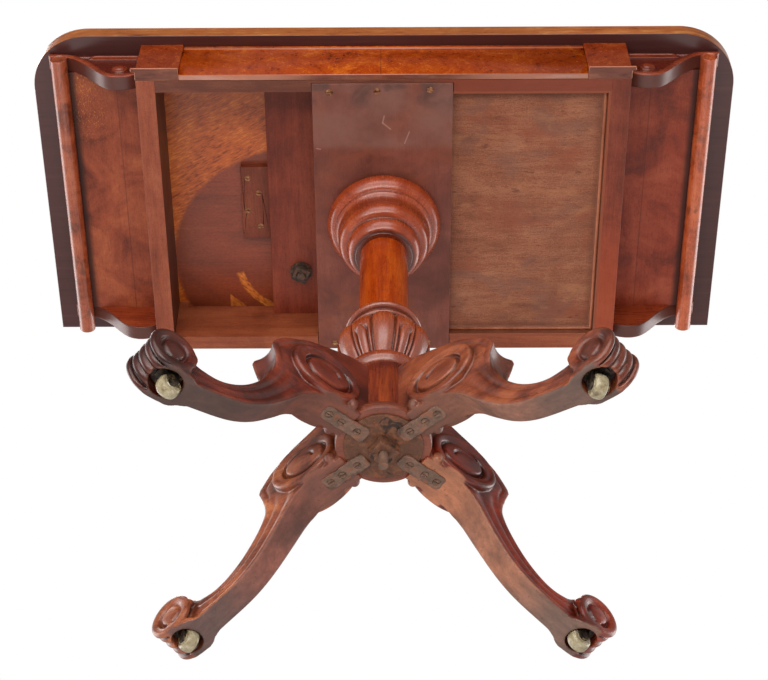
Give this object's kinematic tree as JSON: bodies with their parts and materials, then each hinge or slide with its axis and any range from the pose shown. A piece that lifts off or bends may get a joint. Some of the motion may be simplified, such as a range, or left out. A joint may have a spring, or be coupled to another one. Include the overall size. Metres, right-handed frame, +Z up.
{
  "type": "card table",
  "caption": "Fold-over swivel-top card table with a turned pillar, carved scroll legs on casters, a frieze with scroll brackets and a cloth playing surface.",
  "frame": {"origin": "on the floor, under the middle of the closed top", "axes": "+Z up, +X along the long side of the closed top, +Y from the rounded front edge to the hinge edge"},
  "size_m": [0.914, 0.4596, 0.7249],
  "materials": {
    "carcase_wood": "unpolished, aged red-brown hardwood",
    "walnut_polished": "french polished red-brown walnut",
    "burr_walnut": "polished burr walnut veneer",
    "leaf_walnut": "polished walnut veneer, dark stained underside",
    "baize": "green wool baize",
    "rusty_iron": "rusted wrought iron",
    "steel_screws": "dull aged steel",
    "hinge_brass": "aged brass",
    "caster_metal": "dark tarnished brass and iron",
    "caster_ceramic": "cream glazed earthenware"
  },
  "bodies": {
    "base": {"platform_board": "carcase_wood", "front_rail": "carcase_wood", "back_rail": "carcase_wood", "end_rail_left": "carcase_wood", "end_rail_right": "carcase_wood", "pivot_batten": "carcase_wood", "well_bottom": "carcase_wood", "well_beads": "carcase_wood", "soffit_left": "carcase_wood", "soffit_right": "carcase_wood", "bracket_front_left": "walnut_polished", "bracket_front_right": "walnut_polished", "bracket_back_left": "walnut_polished", "bracket_back_right": "walnut_polished", "end_roll_left": "walnut_polished", "end_roll_right": "walnut_polished", "pillar_collar": "walnut_polished", "pillar_shaft": "walnut_polished", "pillar_bulb": "walnut_polished", "base_post": "walnut_polished", "base_disc": "walnut_polished", "leg_front_left": "walnut_polished", "leg_front_right": "walnut_polished", "leg_back_left": "walnut_polished", "leg_back_right": "walnut_polished", "frieze_facing": "burr_walnut", "die_left": "burr_walnut", "die_right": "burr_walnut", "base_plate": "rusty_iron", "base_straps": "rusty_iron", "tie_rod": "rusty_iron", "tie_rod_nuts": "rusty_iron", "tie_rod_washer": "rusty_iron", "strap_screws": "rusty_iron", "platform_screws": "steel_screws", "caster_sockets": "caster_metal"},
    "swivel_top": {"lower_leaf": "leaf_walnut", "lower_baize": "baize", "stop_block": "carcase_wood", "stop_block_screws": "steel_screws", "pivot_bolt": "rusty_iron", "pivot_washer": "rusty_iron", "pivot_nut": "rusty_iron", "hinge_plates_lower": "hinge_brass", "hinge_pins": "hinge_brass"},
    "folding_leaf": {"upper_leaf": "leaf_walnut", "upper_baize": "baize", "hinge_plates_upper": "hinge_brass"},
    "caster_front_left": {"caster_fork_front_left": "caster_metal", "caster_axle_front_left": "caster_metal"},
    "wheel_front_left": {"caster_wheel_front_left": "caster_ceramic"},
    "caster_front_right": {"caster_fork_front_right": "caster_metal", "caster_axle_front_right": "caster_metal"},
    "wheel_front_right": {"caster_wheel_front_right": "caster_ceramic"},
    "caster_back_left": {"caster_fork_back_left": "caster_metal", "caster_axle_back_left": "caster_metal"},
    "wheel_back_left": {"caster_wheel_back_left": "caster_ceramic"},
    "caster_back_right": {"caster_fork_back_right": "caster_metal", "caster_axle_back_right": "caster_metal"},
    "wheel_back_right": {"caster_wheel_back_right": "caster_ceramic"}
  },
  "joints": [
    {"name": "top_swivel", "type": "hinge", "parent": "base", "child": "swivel_top", "pos_m": [-0.11425, 0.11425, 0.7015], "axis": [0, 0, -1], "range_deg": [0, 90]},
    {"name": "leaf_fold", "type": "hinge", "parent": "swivel_top", "child": "folding_leaf", "pos_m": [0, 0.22875, 0.7132], "axis": [-1, 0, 0], "range_deg": [0, 180]},
    {"name": "caster_swivel_front_left", "type": "hinge", "parent": "base", "child": "caster_front_left", "pos_m": [-0.221, -0.18, 0.03], "axis": [0, 0, 1], "continuous": true},
    {"name": "wheel_roll_front_left", "type": "hinge", "parent": "caster_front_left", "child": "wheel_front_left", "pos_m": [-0.21812, -0.17783, 0.013], "axis": [0.6018, -0.7986, 0], "continuous": true},
    {"name": "caster_swivel_front_right", "type": "hinge", "parent": "base", "child": "caster_front_right", "pos_m": [0.221, -0.18, 0.03], "axis": [0, 0, 1], "continuous": true},
    {"name": "wheel_roll_front_right", "type": "hinge", "parent": "caster_front_right", "child": "wheel_front_right", "pos_m": [0.21977, -0.17662, 0.013], "axis": [0.9397, 0.342, 0], "continuous": true},
    {"name": "caster_swivel_back_left", "type": "hinge", "parent": "base", "child": "caster_back_left", "pos_m": [-0.221, 0.18, 0.03], "axis": [0, 0, 1], "continuous": true},
    {"name": "wheel_roll_back_left", "type": "hinge", "parent": "caster_back_left", "child": "wheel_back_left", "pos_m": [-0.21883, 0.17712, 0.013], "axis": [-0.7986, -0.6018, 0], "continuous": true},
    {"name": "caster_swivel_back_right", "type": "hinge", "parent": "base", "child": "caster_back_right", "pos_m": [0.221, 0.18, 0.03], "axis": [0, 0, 1], "continuous": true},
    {"name": "wheel_roll_back_right", "type": "hinge", "parent": "caster_back_right", "child": "wheel_back_right", "pos_m": [0.21812, 0.17783, 0.013], "axis": [-0.6018, 0.7986, 0], "continuous": true}
  ]
}
